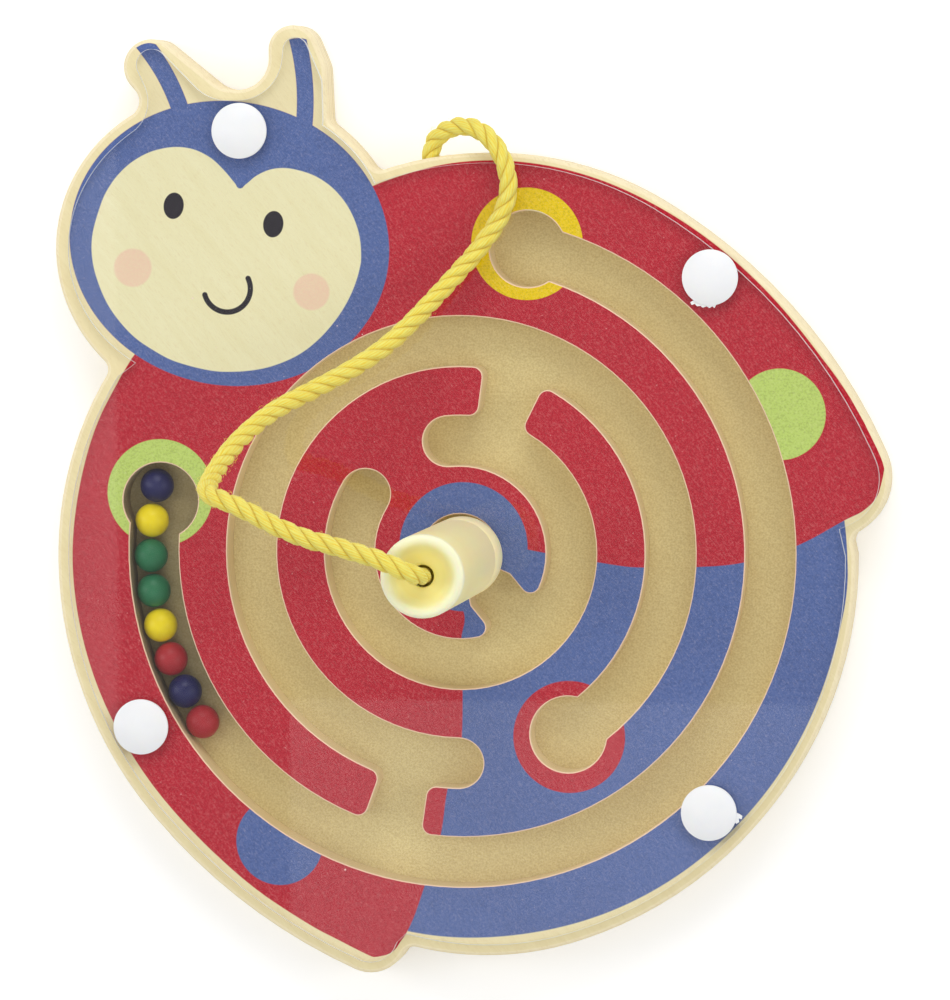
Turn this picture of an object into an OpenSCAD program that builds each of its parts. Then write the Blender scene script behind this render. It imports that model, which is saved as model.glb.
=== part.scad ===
// Ladybird bead maze: a plywood board with ring channels under a clear cover,
// eight steel beads inside, and a magnet wand on a cord.
// The maze centre is at x = 0, y = 0, and the board's flat underside is at z = 0.

/* [Boards] */
// Thickness of the base board that closes the channels from below
base_t = 4; // [3.5:0.5:5]
// Thickness of the maze board, which is the channels' depth
maze_t = 9; // [9:0.2:10]
// Thickness of the clear cover
cover_t = 2; // [1.6:0.2:2.6]
// How far the clear cover stays inside the wooden edge
cover_inset = 2.6; // [2.4:0.2:3.2]

/* [Maze] */
// Width of each ring channel and of each ring wall
lane_w = 12; // [11:0.5:12]
// Outer radius of the innermost ring wall
first_ring_r = 21; // [20:0.5:21]
// Radius of the pocket in the middle of the maze
centre_pocket_r = 9.3; // [9:0.1:10]
// Radius of the three pockets at the channels' ends
pocket_r = 9.2; // [8:0.1:9.4]
// Width of the gates between neighbouring channels
gate_w = 13; // [11:0.5:13]
// Rounding of the ring walls' corners beside a gate
wall_corner_r = 2.5; // [1:0.5:3]

/* [Beads] */
// Diameter of a bead
bead_d = 8.2; // [6:0.2:8.2]
// Angle from one bead to the next along the channel at rest
bead_step = 6.43; // [6.4:0.01:6.6]

/* [Rivets] */
// Diameter of a rivet's visible head
rivet_head_d = 13.4; // [10:0.2:14]
// Diameter of a rivet's hollow stem
rivet_stem_d = 6; // [5.4:0.2:6.4]

/* [Wand] */
// Diameter of the wand
wand_d = 19.4; // [18:0.2:20]
// Height of the wand over the clear cover
wand_h = 70.5; // [60:0.5:75]
// Height of the wand's end cap that shows below the barrel
wand_cap_h = 13; // [8:0.5:14]
// Diameter of the cord
cord_d = 4.6; // [4:0.2:5]

/* [Hidden] */
$fn = 96;

maze_top = base_t + maze_t;
cover_top = maze_top + cover_t;
cut_over = 1;
// The cover sits a little to the right on the board
cover_shift = [0.4, 0.2];

// The board's outline is a chain of arcs. Each arc starts where it is tangent to the one named before it.
body_c = [-1.8, -1.7];
body_r = 97.1;
belly_r = 73.5;
belly_a = -73;
left_wing_r = 137;
left_wing_a = 220;
left_tip_r = 9.2;
left_tip_a = 246.5;
left_shoulder_r = 85;
left_shoulder_a = 178.7;
right_wing_c = [-20, -30.1];
right_wing_r = 133.6;
right_tip_r = 14.6;
right_tip_a = 24;
right_shoulder_r = 81.2;
right_shoulder_a = 59.5;
wing_notch_r = 3;

// The head is an ellipse, turned a little, with two feelers: middle, half widths and turn
head_oval = [[-57.3, 72.6], [41.9, 38.9], -4.4];
left_feeler = [[-75.6, 116.9, 6.7], [-64.5, 106.3, 8]];
right_feeler = [[-40.9, 121, 5.9], [-39.7, 115.5, 6.9], [-39.4, 103, 7.2]];
notch_r = 4;
valley_r = 7.5;

// The same for the cover, which is cut on its own and doesn't follow the board's edge exactly there
cover_oval = [[-56.6, 74.3], [39.2, 34.4], 9];
cover_left_feeler = [[-75, 117.4, 3.8], [-66, 104.5, 6.5]];
cover_right_feeler = [[-39.9, 121, 3], [-38.6, 112.5, 5.2], [-38.6, 104, 5.4]];
cover_notch_r = 9;
cover_valley_r = 11;

// Ring channels and walls from the centre outwards
function ring_r(i) = first_ring_r + i * lane_w;
function lane_mid(i) = ring_r(i) + lane_w / 2;
inner_lane = 0;
middle_lane = 2;
outer_lane = 4;
green_pocket_a = 170.7;
green_pocket_in = 0.7;
yellow_pocket_a = 77.4;
red_pocket_a = 301;
middle_lane_end_a = 269.6;
inner_lane_end_a = 96.5;
inner_lane_start_a = 148.7;
outer_gate_a = 256;
inner_gate_a = 73;
centre_gate_a = 309.5;
centre_gate_half = 6;
horn_r = 2.5;
// A rounding stays this much short of the arc it runs into
ease = 0.02;

// Rivet places, and the sizes of the two halves of a snap rivet
rivet_at = [[-53.5, 101.5], [60.5, 66.5], [-78, -43], [60.5, -62]];
rivet_rim_h = 0.7;
rivet_dome_h = 1.5;
rivet_hole_r = rivet_stem_d / 2 + 0.2;
rivet_bore_r = 1.9;
rivet_pin_r = 1.82;
rivet_stem_z = 2;
rivet_foot_r = 6;
rivet_foot_h = 1.6;
rivet_foot_gap = 0.1;
sink_r = 6.3;
sink_h = 1.8;

// The beads lie along the outer channel's outside wall
bead_clear = 0.3;
bead_lift = 0.1;
bead_path_r = ring_r(outer_lane + 1) - bead_d / 2 - bead_clear;
bead_first_a = 168.4;
BEAD_COLORS = ["midnightblue", "gold", "seagreen", "seagreen", "gold", "firebrick", "midnightblue", "firebrick"];

// The wand stands just over the cover
wand_at = [0.9, -0.8];
wand_gap = 0.1;
wand_z = cover_top + wand_gap;
wand_r = wand_d / 2;
wand_bore_r = wand_r - 1.5;
wand_roof_t = 2.5;
dish_depth = 2;
rim_w = 2;
spigot_h = 6;
spigot_gap = 0.1;
cap_floor_t = 1.2;
magnet_r = 6;
magnet_h = 6;
magnet_gap = 0.1;
wand_hole_r = cord_d / 2 + 0.3;
edge_r = 0.6;

// The cord: its hole in the board's top edge, and its route from there to the wand
cord_hole_r = cord_d / 2 + 0.2;
cord_sides = 10;
cord_up = [0, 0.8, 0.9];
knot_r = 5.5;
knot_gap = 0.1;
cord_end = wand_z + wand_h - dish_depth - wand_roof_t;
knot_top = cord_end - knot_gap;
wand_top = [wand_at[0], wand_at[1], wand_z + wand_h];
CORD_ROUTE = concat([
    [-7.6, 83, 8.5], [-7.6, 92, 8.5], [-7.6, 96.6, 8.7], [-6.2, 99.7, 9.8], [-2.9, 101.9, 12],
    [1.2, 102.6, 14.4], [5.2, 101.5, 16.3], [8.4, 98.8, 17.4], [10.8, 95, 17.8], [12, 91, 17.8],
    [12.2, 87, 17.7], [11.2, 83, 17.7], [9, 78.6, 18], [5, 73, 19], [0.4, 67.6, 20.4],
    [-4.8, 61.6, 23.2], [-10.4, 55.3, 27.2], [-16.6, 49.4, 31.8], [-23.8, 44.4, 37], [-31.4, 40.1, 42.8],
    [-38.6, 36, 49.2], [-43.8, 31.6, 55.6], [-47.4, 27.2, 62], [-49.4, 23.2, 68.6], [-50.2, 20.3, 75],
    [-49.9, 18.5, 80.8], [-47.9, 17.4, 85.2], [-44.2, 16.3, 87.8], [-39, 14.1, 88.8], [-32.6, 10.9, 89],
    [-26, 8.2, 89], [-20, 6.6, 89], [-14.4, 5.1, 89.6], [-9.8, 3.9, 90.5]
], [
    // Over the wand's rim and down its middle, measured from the middle of its top
    for (p = [[-6.7, 3.2, 5.4], [-3.4, 1.6, 4.6], [-1, 0.5, 2.5], [0, 0, -0.5], [0, 0, cord_end - wand_top[2]]])
    wand_top + p
]);

function arc(c, r, from, to) =
    let (steps = ceil(abs(to - from) / max(3, 90 / r)))
    [for (i = [0:steps]) let (a = from + (to - from) * i / steps) c + r * [cos(a), sin(a)]];

// Centre of an arc of radius r that runs on smoothly from another arc, at angle a
function tangent_centre(from_c, from_r, r, a) = from_c + (from_r - r) * [cos(a), sin(a)];

function unit(v) = v / norm(v);

// Direction of a route at one of its points
function heading(route, i) =
    unit(route[min(i + 1, len(route) - 1)] - route[max(i - 1, 0)]);

// One ring of points round a route's point
function tube_ring(route, i, r, sides) =
    let (t = heading(route, i), u = unit(cross(t, cord_up)), v = cross(t, u))
    [for (k = [0:sides - 1]) let (a = -360 * k / sides) route[i] + r * (cos(a) * u + sin(a) * v)];

module body_outline() {
    belly_c = tangent_centre(body_c, body_r, belly_r, belly_a);
    left_wing_c = tangent_centre(body_c, body_r, left_wing_r, left_wing_a);
    left_tip_c = tangent_centre(left_wing_c, left_wing_r, left_tip_r, left_tip_a);
    right_tip_c = tangent_centre(right_wing_c, right_wing_r, right_tip_r, right_tip_a);
    right_shoulder_c = tangent_centre(right_wing_c, right_wing_r, right_shoulder_r, right_shoulder_a);
    left_shoulder_c = tangent_centre(body_c, body_r, left_shoulder_r, left_shoulder_a);
    polygon(concat(
        arc(belly_c, belly_r, -104, belly_a),
        arc(body_c, body_r, belly_a + 2, 1),
        arc(right_tip_c, right_tip_r, -68, right_tip_a),
        arc(right_wing_c, right_wing_r, right_tip_a + 1, right_shoulder_a),
        arc(right_shoulder_c, right_shoulder_r, right_shoulder_a + 2, 112),
        arc(left_shoulder_c, left_shoulder_r, 148, left_shoulder_a),
        arc(body_c, body_r, left_shoulder_a + 2, left_wing_a),
        arc(left_wing_c, left_wing_r, left_wing_a + 1, left_tip_a),
        arc(left_tip_c, left_tip_r, left_tip_a + 6, 340)
    ));
}

module feeler(ends) {
    hull() {
        for (e = ends) {
            translate([e[0], e[1]]) circle(r = e[2], $fn = 48);
        }
    }
}

module head_and_feelers(oval, left, right) {
    translate(oval[0]) rotate(oval[2]) scale([1, oval[1][1] / oval[1][0]]) circle(r = oval[1][0], $fn = 120);
    feeler(left);
    feeler(right);
}

// The valleys beside the left feeler are rounded. The right feeler's outer side ends in a corner.
module head_outline(oval, left, right, left_r, middle_r) {
    head_and_feelers(oval, left, right);
    for (band = [[left_r, -150, left[0][0]], [middle_r, left[0][0], right[0][0]]]) {
        intersection() {
            offset(r = -band[0]) offset(delta = band[0]) head_and_feelers(oval, left, right);
            translate([band[1], 0]) square([band[2] - band[1], 150]);
        }
    }
}

module board_outline() {
    offset(r = -wing_notch_r) offset(delta = wing_notch_r) {
        body_outline();
        head_outline(head_oval, left_feeler, right_feeler, notch_r, valley_r);
    }
}

// The clear cover keeps sharp inner corners where the head meets the body
module cover_outline() {
    translate(cover_shift) offset(delta = -cover_inset) body_outline();
    head_outline(cover_oval, cover_left_feeler, cover_right_feeler, cover_notch_r, cover_valley_r);
}

module at_polar(r, a) {
    rotate(a) translate([r, 0]) children();
}

// Flat ring sector between two radii and two angles
module sector(r_in, r_out, from, to) {
    reach = r_out / cos(30) + cut_over;
    steps = ceil((to - from) / 30);
    intersection() {
        difference() {
            circle(r = r_out);
            circle(r = r_in);
        }
        polygon(concat(
            [[0, 0]],
            [for (i = [0:steps]) let (a = from + (to - from) * i / steps) reach * [cos(a), sin(a)]]
        ));
    }
}

// A ring wall's end beside a gate, with both corners rounded
module wall_end(r_in, r_out, from, to, c) {
    for (r = [r_in + c, r_out - c]) {
        lean = asin(c / r);
        for (a = [from + lean, to - lean]) {
            at_polar(r, a) circle(r = c - ease);
        }
    }
    sector(r_in + c, r_out - c, from, to);
    sector(r_in, r_in + 2 * c, from + asin(c / (r_in + c)), to - asin(c / (r_in + c)));
    sector(r_out - 2 * c, r_out, from + asin(c / (r_out - c)), to - asin(c / (r_out - c)));
}

// Gap through one ring wall, at an angle
module gate(wall, a) {
    r_in = ring_r(wall);
    r_out = ring_r(wall + 1);
    half = gate_w / (r_in + r_out) * 180 / PI;
    far = half + 25;
    difference() {
        sector(r_in - cut_over, r_out + cut_over, a - half - 8, a + half + 8);
        wall_end(r_in, r_out, a + half, a + far, wall_corner_r);
        wall_end(r_in, r_out, a - far, a - half, wall_corner_r);
    }
}

// Passage from the middle pocket into the innermost channel
module centre_gate() {
    horn_far = ring_r(0) - horn_r;
    lean = asin((centre_gate_half + horn_r) / horn_far);
    difference() {
        union() {
            sector(centre_pocket_r - cut_over, ring_r(0) + cut_over, centre_gate_a - 26, centre_gate_a + 26);
            rotate(centre_gate_a) translate([0, -centre_gate_half]) square([horn_far, 2 * centre_gate_half]);
        }
        for (side = [-1, 1]) {
            at_polar(horn_far, centre_gate_a + side * lean) circle(r = horn_r - ease);
            rotate(centre_gate_a) mirror([0, side < 0 ? 1 : 0]) {
                translate([0, centre_gate_half]) square([horn_far * cos(lean), 20]);
            }
            sector(0, ring_r(0), centre_gate_a + (side > 0 ? lean : -40), centre_gate_a + (side > 0 ? 40 : -lean));
        }
    }
}

module channels() {
    circle(r = centre_pocket_r);
    centre_gate();
    sector(ring_r(0), ring_r(1), inner_lane_start_a, inner_lane_end_a + 360);
    for (a = [inner_lane_start_a, inner_lane_end_a]) {
        at_polar(lane_mid(inner_lane), a) circle(r = lane_w / 2 - ease);
    }
    gate(1, inner_gate_a);
    sector(ring_r(2), ring_r(3), red_pocket_a - 360, middle_lane_end_a);
    at_polar(lane_mid(middle_lane), middle_lane_end_a) circle(r = lane_w / 2 - ease);
    at_polar(lane_mid(middle_lane), red_pocket_a) circle(r = pocket_r);
    gate(3, outer_gate_a);
    sector(ring_r(4), ring_r(5), green_pocket_a, yellow_pocket_a + 360);
    at_polar(lane_mid(outer_lane) - green_pocket_in, green_pocket_a) circle(r = pocket_r);
    at_polar(lane_mid(outer_lane), yellow_pocket_a) circle(r = pocket_r);
}

module rivet_holes(z, h) {
    for (p = rivet_at) {
        translate([p[0], p[1], z]) cylinder(r = rivet_hole_r, h = h);
    }
}

module base_board() {
    color("burlywood") difference() {
        linear_extrude(base_t) board_outline();
        rivet_holes(-cut_over, base_t + 2 * cut_over);
        for (p = rivet_at) {
            translate([p[0], p[1], -cut_over]) cylinder(r = sink_r, h = sink_h + cut_over);
        }
    }
}

module maze_board() {
    color("indianred") difference() {
        translate([0, 0, base_t]) linear_extrude(maze_t) board_outline();
        translate([0, 0, base_t - cut_over]) linear_extrude(maze_t + 2 * cut_over) channels();
        rivet_holes(base_t - cut_over, maze_t + 2 * cut_over);
        translate(CORD_ROUTE[0]) rotate([-90, 0, 0]) cylinder(r = cord_hole_r, h = 30);
    }
}

module clear_cover() {
    color("whitesmoke", 0.3) difference() {
        translate([0, 0, maze_top]) linear_extrude(cover_t) cover_outline();
        rivet_holes(maze_top - cut_over, cover_t + 2 * cut_over);
    }
}

// Head with a hollow stem that reaches down through all three layers
module rivet_front(i) {
    head_r = rivet_head_d / 2;
    dome_r = (head_r * head_r + rivet_dome_h * rivet_dome_h) / (2 * rivet_dome_h);
    color("white") translate([rivet_at[i][0], rivet_at[i][1], 0]) difference() {
        union() {
            translate([0, 0, cover_top]) cylinder(r = head_r, h = rivet_rim_h);
            intersection() {
                translate([0, 0, cover_top + rivet_rim_h + rivet_dome_h - dome_r]) sphere(r = dome_r);
                translate([0, 0, cover_top]) cylinder(r = head_r, h = rivet_rim_h + 2 * rivet_dome_h);
            }
            translate([0, 0, rivet_stem_z]) cylinder(r = rivet_stem_d / 2, h = cover_top - rivet_stem_z + 0.3);
        }
        translate([0, 0, rivet_stem_z - cut_over]) cylinder(r = rivet_bore_r, h = maze_top - rivet_stem_z + cut_over);
    }
}

// Sunk foot with a pin that snaps up into the stem
module rivet_back(i) {
    color("white") translate([rivet_at[i][0], rivet_at[i][1], rivet_foot_gap]) {
        cylinder(r = rivet_foot_r, h = rivet_foot_h);
        cylinder(r = rivet_pin_r, h = maze_top - 1);
    }
}

module bead(i) {
    a = bead_first_a + i * bead_step;
    color(BEAD_COLORS[i]) translate([0, 0, base_t + bead_d / 2 + bead_lift]) {
        rotate([0, 0, a]) translate([bead_path_r, 0, 0]) sphere(d = bead_d);
    }
}

module on_wand() {
    translate([wand_at[0], wand_at[1], wand_z]) children();
}

module wand_barrel() {
    top = wand_h;
    dish_foot = top - dish_depth;
    color("khaki") on_wand() rotate_extrude() polygon([
        [wand_bore_r, wand_cap_h], [wand_r - edge_r, wand_cap_h], [wand_r, wand_cap_h + edge_r],
        [wand_r, top - 1.2], [wand_r - 0.35, top - 0.35], [wand_r - 1.1, top],
        [wand_r - rim_w, top - 0.3], [wand_r - rim_w - 1.5, top - 1.2], [wand_r - rim_w - 3.4, dish_foot],
        [wand_hole_r, dish_foot], [wand_hole_r, dish_foot - wand_roof_t],
        [wand_bore_r, dish_foot - wand_roof_t]
    ]);
}

module wand_end_cap() {
    spigot_r = wand_bore_r - spigot_gap;
    pocket = magnet_r + magnet_gap;
    color("wheat") on_wand() rotate_extrude() polygon([
        [0, 0], [wand_r - edge_r, 0], [wand_r, edge_r], [wand_r, wand_cap_h],
        [spigot_r, wand_cap_h], [spigot_r, wand_cap_h + spigot_h],
        [pocket, wand_cap_h + spigot_h], [pocket, cap_floor_t], [0, cap_floor_t]
    ]);
}

module wand_magnet() {
    color("silver") on_wand() translate([0, 0, cap_floor_t + magnet_gap / 2]) cylinder(r = magnet_r, h = magnet_h);
}

// Knot under the wand's roof, cut flat where the cord runs into it
module cord_knot() {
    color("gold") difference() {
        translate([wand_at[0], wand_at[1], knot_top - 0.8 * knot_r]) sphere(r = knot_r);
        translate([wand_at[0], wand_at[1], knot_top]) cylinder(r = 2 * knot_r, h = knot_r);
    }
}

module tether_cord() {
    rings = len(CORD_ROUTE);
    last = (rings - 1) * cord_sides;
    color("gold") polyhedron(
        points = [for (i = [0:rings - 1]) each tube_ring(CORD_ROUTE, i, cord_d / 2, cord_sides)],
        faces = concat(
            [[for (k = [cord_sides - 1:-1:0]) k]],
            [
                for (i = [0:rings - 2]) for (k = [0:cord_sides - 1])
                let (n = (k + 1) % cord_sides, b = i * cord_sides)
                each [[b + k, b + n, b + cord_sides + n], [b + k, b + cord_sides + n, b + cord_sides + k]]
            ],
            [[for (k = [0:cord_sides - 1]) last + k]]
        )
    );
}

base_board();
maze_board();
clear_cover();
rivet_front(0);  // rivet_front_1
rivet_front(1);  // rivet_front_2
rivet_front(2);  // rivet_front_3
rivet_front(3);  // rivet_front_4
rivet_back(0);  // rivet_back_1
rivet_back(1);  // rivet_back_2
rivet_back(2);  // rivet_back_3
rivet_back(3);  // rivet_back_4
bead(0);  // bead_1
bead(1);  // bead_2
bead(2);  // bead_3
bead(3);  // bead_4
bead(4);  // bead_5
bead(5);  // bead_6
bead(6);  // bead_7
bead(7);  // bead_8
wand_barrel();
wand_end_cap();
wand_magnet();
cord_knot();
tether_cord();
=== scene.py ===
import math
import random
import bmesh
import bpy
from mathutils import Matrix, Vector


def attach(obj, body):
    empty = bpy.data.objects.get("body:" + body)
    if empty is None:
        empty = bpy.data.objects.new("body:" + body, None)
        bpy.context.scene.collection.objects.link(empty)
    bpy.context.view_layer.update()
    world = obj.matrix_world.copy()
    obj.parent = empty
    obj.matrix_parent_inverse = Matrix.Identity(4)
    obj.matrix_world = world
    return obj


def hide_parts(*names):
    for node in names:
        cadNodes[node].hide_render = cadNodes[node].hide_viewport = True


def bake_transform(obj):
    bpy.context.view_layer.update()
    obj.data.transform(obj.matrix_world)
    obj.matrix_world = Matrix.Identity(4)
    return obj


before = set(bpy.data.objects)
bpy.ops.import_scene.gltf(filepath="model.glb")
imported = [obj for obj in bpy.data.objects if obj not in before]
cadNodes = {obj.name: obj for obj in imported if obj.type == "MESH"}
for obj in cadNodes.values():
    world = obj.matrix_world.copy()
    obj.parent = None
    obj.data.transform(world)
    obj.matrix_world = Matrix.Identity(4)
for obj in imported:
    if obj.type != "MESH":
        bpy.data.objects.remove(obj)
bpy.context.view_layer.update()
scene = bpy.context.scene
scene.view_settings.view_transform = "Standard"
mm = 0.001
print("ladybird maze: frame loaded with", len(cadNodes), "nodes")


# node helpers
def feed(tree, socket, value):
    # a link from another node, or a constant
    if isinstance(value, bpy.types.NodeSocket):
        tree.links.new(value, socket)
    else:
        socket.default_value = value


def addNode(tree, kind, values=None, **settings):
    node = tree.nodes.new(kind)
    for name, value in settings.items():
        setattr(node, name, value)
    for name, value in (values or {}).items():
        feed(tree, node.inputs[name], value)
    return node


def calc(tree, operation, a, b=None, clamp=False):
    values = {0: a} if b is None else {0: a, 1: b}
    return addNode(tree, "ShaderNodeMath", values, operation=operation, use_clamp=clamp).outputs[0]


def times(tree, a, b):
    return calc(tree, "MULTIPLY", a, b)


def plus(tree, a, b):
    return calc(tree, "ADD", a, b)


def larger(tree, a, b):
    return calc(tree, "MAXIMUM", a, b)


def minus(tree, a, b, clamp=False):
    return calc(tree, "SUBTRACT", a, b, clamp=clamp)


def softEdge(tree, inside, softness):
    # 1 where inside is positive and 0 where it is negative, with a ramp between
    return calc(tree, "ADD", calc(tree, "DIVIDE", inside, softness), 0.5, clamp=True)


def vectorCalc(tree, operation, a, b=None):
    values = {0: a} if b is None else {0: a, 1: b}
    outputs = addNode(tree, "ShaderNodeVectorMath", values, operation=operation).outputs
    return outputs["Value" if operation in ("LENGTH", "DOT_PRODUCT") else "Vector"]


def turnAbout(tree, place, angle):
    values = {"Vector": place, "Angle": angle}
    return addNode(tree, "ShaderNodeVectorRotate", values, rotation_type="Z_AXIS").outputs[0]


def split(tree, vector):
    return addNode(tree, "ShaderNodeSeparateXYZ", {0: vector}).outputs


def noise(tree, place, scale, detail, roughness=0.5):
    return addNode(tree, "ShaderNodeTexNoise", {
        "Vector": place, "Scale": scale, "Detail": detail, "Roughness": roughness}).outputs[0]


def remap(tree, value, source=(0.0, 1.0), target=(0.0, 1.0)):
    return addNode(tree, "ShaderNodeMapRange", {
        "Value": value, "From Min": source[0], "From Max": source[1],
        "To Min": target[0], "To Max": target[1]}).outputs[0]


def mixColour(tree, factor, a, b, blend="MIX"):
    node = addNode(tree, "ShaderNodeMix", data_type="RGBA", blend_type=blend)
    for socket, value in ((node.inputs[0], factor), (node.inputs[6], a), (node.inputs[7], b)):
        feed(tree, socket, value)
    return node.outputs[2]


def tint(tree, colour, mask, amount, target):
    # the target laid over the colour where the mask is, as strong as amount
    return mixColour(tree, times(tree, mask, amount), colour, target)


def srgb(red, green, blue):
    # screen colour 0-255 to the linear colour that nodes take
    parts = [v / 255 for v in (red, green, blue)]
    return tuple(v / 12.92 if v <= 0.04045 else ((v + 0.055) / 1.055) ** 2.4 for v in parts) + (1.0,)


def newGroup(name, inputs, outputs):
    # an input given as None is a vector, and the others are numbers with that value
    group = bpy.data.node_groups.new(name, "ShaderNodeTree")
    for label, value in inputs.items():
        kind = "Vector" if value is None else "Float"
        socket = group.interface.new_socket(label, in_out="INPUT", socket_type="NodeSocket" + kind)
        if value is not None:
            socket.default_value = value
    for label in outputs:
        group.interface.new_socket(label, in_out="OUTPUT", socket_type="NodeSocketFloat")
    return group, group.nodes.new("NodeGroupInput").outputs, group.nodes.new("NodeGroupOutput").inputs


def useGroup(tree, group, values):
    return addNode(tree, "ShaderNodeGroup", values, node_tree=group).outputs


def newMaterial(name, values):
    material = bpy.data.materials.new(name)
    material.use_nodes = True
    tree = material.node_tree
    tree.nodes.clear()
    shader = addNode(tree, "ShaderNodeBsdfPrincipled", values)
    output = addNode(tree, "ShaderNodeOutputMaterial", {"Surface": shader.outputs[0]})
    return material, tree, shader, output


def placeInMillimetres(tree):
    place = addNode(tree, "ShaderNodeTexCoord").outputs["Object"]
    return addNode(tree, "ShaderNodeVectorMath", {0: place, "Scale": 1000.0}, operation="SCALE").outputs[0]


def dressShader(tree, shader, colour, height, strength, distance):
    bump = addNode(tree, "ShaderNodeBump", {"Height": height, "Strength": strength, "Distance": distance})
    tree.links.new(colour, shader.inputs["Base Color"])
    tree.links.new(bump.outputs[0], shader.inputs["Normal"])


def newObject(name, data):
    made = bpy.data.objects.new(name, data)
    scene.collection.objects.link(made)
    return made


def newPiece(name, mesh):
    # an object at the origin, made from a bmesh
    data = bpy.data.meshes.new(name)
    mesh.to_mesh(data)
    mesh.free()
    return newObject(name, data)


# camera
cameraLook = {
    "place": (0.2037, 0.1000, 1.4970),
    "turn": (-3.3373, 7.6812, 0.0),
    "lens": 224.1,
    "sensor": 36.0,
    "clip": (0.05, 20),
}


def makeCamera(look):
    data = bpy.data.cameras.new("photo_camera")
    data.lens = look["lens"]
    data.sensor_width = look["sensor"]
    data.clip_start, data.clip_end = look["clip"]
    camera = newObject("photo_camera", data)
    camera.location = look["place"]
    camera.rotation_euler = [math.radians(a) for a in look["turn"]]
    scene.camera = camera


makeCamera(cameraLook)
print("camera set")


# shared effects; the blurs are how wide a mask's edge is, in mm
effectFacts = {
    "blur": 0.15,
    "endBlur": 0.1,
    "streakStretch": (0.06, 0.6, 0.5),
    "poreStretch": (0.6, 2.8, 1.0),
    "poreRange": (0.54, 0.7),
    "cloudScale": 0.06,
    "fibreScale": 2.2,
    "dustBlur": 0.12,
    "dustLeast": 0.4,
    "dustShare": 0.6,  # this part of the places stays clean
}


def flatAway(tree, place, centre):
    # the way from centre to place as seen from above, and how far it is
    flat = vectorCalc(tree, "MULTIPLY", vectorCalc(tree, "SUBTRACT", place, centre), (1, 1, 0))
    return flat, vectorCalc(tree, "LENGTH", flat)


def makeDiscMask(facts):
    group, given, out = newGroup("disc_mask", {
        "Place": None, "Centre": None, "Radius": 10.0, "Softness": facts["blur"]}, ["Mask"])
    _, far = flatAway(group, given["Place"], given["Centre"])
    inside = minus(group, given["Radius"], far)
    group.links.new(softEdge(group, inside, given["Softness"]), out["Mask"])
    return group


def makeOvalMask(facts):
    group, given, out = newGroup("oval_mask", {
        "Place": None, "Centre": None, "Turn": 0.0,
        "Half Width": 10.0, "Half Height": 10.0, "Softness": facts["blur"]}, ["Mask"])
    away = vectorCalc(group, "SUBTRACT", given["Place"], given["Centre"])
    parts = split(group, turnAbout(group, away, times(group, given["Turn"], -1.0)))
    across = calc(group, "DIVIDE", parts["X"], given["Half Width"])
    along = calc(group, "DIVIDE", parts["Y"], given["Half Height"])
    squares = plus(group, times(group, across, across), times(group, along, along))
    inside = times(group, minus(group, 1.0, calc(group, "SQRT", squares)), given["Half Height"])
    group.links.new(softEdge(group, inside, given["Softness"]), out["Mask"])
    return group


def makeStrokeMask(facts):
    # a band along part of a circle, facing one way
    group, given, out = newGroup("stroke_mask", {
        "Place": None, "Centre": None, "Facing": None,
        "Radius": 10.0, "Half Width": 1.0, "Reach": 0.5}, ["Mask"])
    flat, far = flatAway(group, given["Place"], given["Centre"])
    off = calc(group, "ABSOLUTE", minus(group, far, given["Radius"]))
    band = softEdge(group, minus(group, given["Half Width"], off), facts["blur"])
    ahead = vectorCalc(group, "DOT_PRODUCT", flat, given["Facing"])
    ends = softEdge(group, minus(group, ahead, times(group, far, given["Reach"])), facts["endBlur"])
    group.links.new(times(group, band, ends), out["Mask"])
    return group


def makeVeneerGrain(facts):
    # long soft streaks and short open pores along one direction, slow tone changes and even fibres
    group, given, out = newGroup("veneer_grain", {
        "Place": None, "Turn": 0.87}, ["Streak", "Pores", "Cloud", "Fibre"])
    turned = turnAbout(group, given["Place"], given["Turn"])
    longWay = vectorCalc(group, "MULTIPLY", turned, facts["streakStretch"])
    group.links.new(noise(group, longWay, 1.0, 4.0, 0.65), out["Streak"])
    shortWay = vectorCalc(group, "MULTIPLY", turned, facts["poreStretch"])
    group.links.new(remap(group, noise(group, shortWay, 1.0, 2.0, 0.6), facts["poreRange"]), out["Pores"])
    group.links.new(noise(group, given["Place"], facts["cloudScale"], 3.0), out["Cloud"])
    group.links.new(noise(group, given["Place"], facts["fibreScale"], 1.0, 0.6), out["Fibre"])
    return group


def makeDustSpecks(facts):
    # a few tiny pale specks, as dust and wood crumbs
    group, given, out = newGroup("dust_specks", {"Place": None, "Spacing": 6.0, "Size": 0.2}, ["Mask"])
    flat = vectorCalc(group, "MULTIPLY", given["Place"], (1, 1, 0))
    cell = addNode(group, "ShaderNodeVectorMath", {
        0: flat, "Scale": calc(group, "DIVIDE", 1.0, given["Spacing"])}, operation="SCALE").outputs[0]
    spot = addNode(group, "ShaderNodeTexVoronoi", {"Vector": cell, "Scale": 1.0}).outputs
    chance = addNode(group, "ShaderNodeSeparateColor", {0: spot["Color"]}).outputs
    reach = times(group, given["Size"], plus(group, chance["Green"], facts["dustLeast"]))
    inside = minus(group, reach, times(group, spot["Distance"], given["Spacing"]))
    kept = calc(group, "GREATER_THAN", chance["Red"], facts["dustShare"])
    group.links.new(times(group, softEdge(group, inside, facts["dustBlur"]), kept), out["Mask"])
    return group


discMask = makeDiscMask(effectFacts)
ovalMask = makeOvalMask(effectFacts)
strokeMask = makeStrokeMask(effectFacts)
veneerGrain = makeVeneerGrain(effectFacts)
dustSpecks = makeDustSpecks(effectFacts)


def disc(tree, place, centre, radius, softness=effectFacts["blur"]):
    return useGroup(tree, discMask, {
        "Place": place, "Centre": centre, "Radius": radius, "Softness": softness})[0]


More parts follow.
